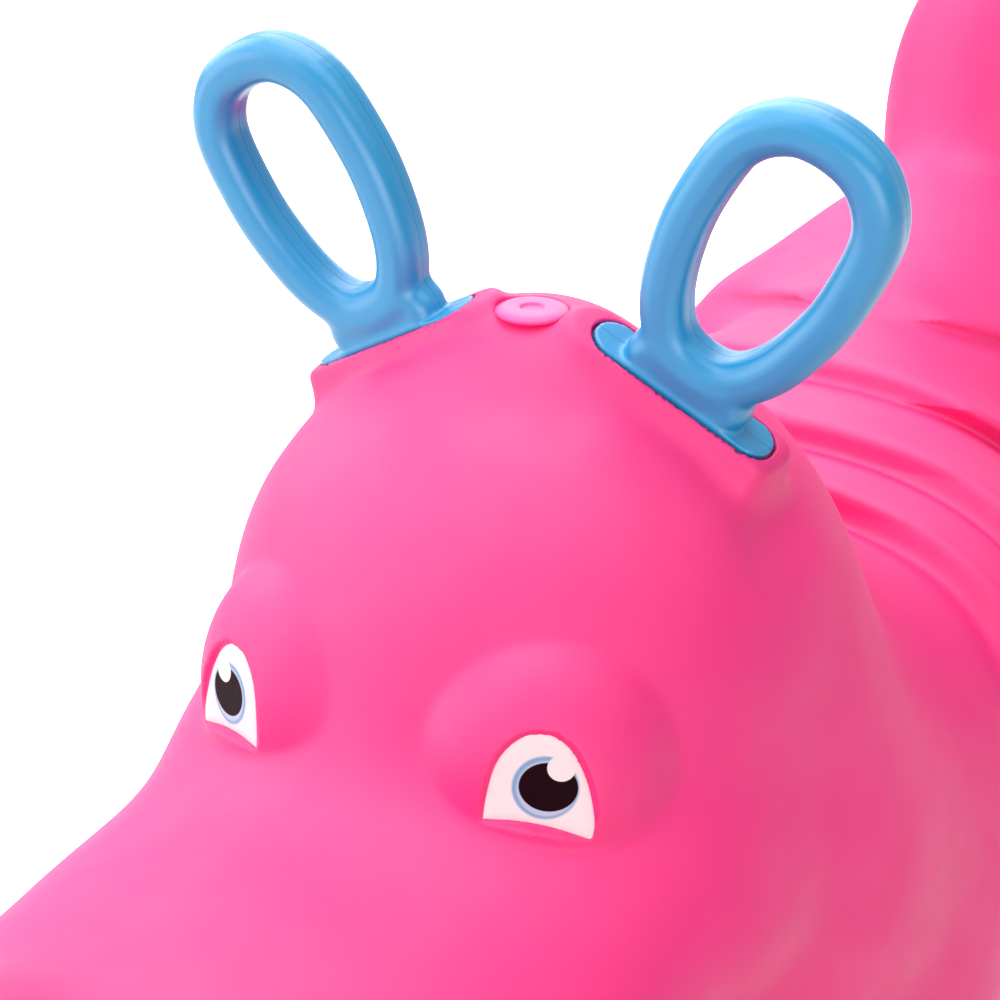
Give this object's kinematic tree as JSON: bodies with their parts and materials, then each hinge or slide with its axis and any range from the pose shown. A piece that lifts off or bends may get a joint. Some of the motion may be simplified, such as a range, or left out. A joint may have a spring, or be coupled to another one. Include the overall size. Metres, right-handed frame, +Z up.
{
  "type": "rocking hippo ride-on",
  "caption": "Hollow pink hippo ride-on that rocks on moulded runners, with folded seat, backrest, blue loop ears as handles and printed eyes.",
  "frame": {"origin": "on the floor under the middle of the toy's outer box, with the runner flats on the floor", "axes": "+Z up, the hippo looks along -Y, its left side is +X"},
  "size_m": [0.3168, 0.8461, 0.4465],
  "materials": {
    "pink_polyethylene": "satin blow-moulded skin",
    "pink_plug": "satin moulded",
    "blue_polypropylene": "semi-gloss injection moulded",
    "printed_label": "gloss printed film",
    "zinc_steel": "zinc plated"
  },
  "bodies": {
    "root": {"body_shell": "pink_polyethylene", "ear_left_front": "blue_polypropylene", "ear_left_rear": "blue_polypropylene", "ear_right_front": "blue_polypropylene", "ear_right_rear": "blue_polypropylene", "crown_plug": "pink_plug", "belly_plug": "pink_plug", "eye_label_left": "printed_label", "eye_label_right": "printed_label", "screw_left_upper": "zinc_steel", "screw_left_outer": "zinc_steel", "screw_left_inner": "zinc_steel", "screw_right_upper": "zinc_steel", "screw_right_outer": "zinc_steel", "screw_right_inner": "zinc_steel"}
  },
  "joints": []
}
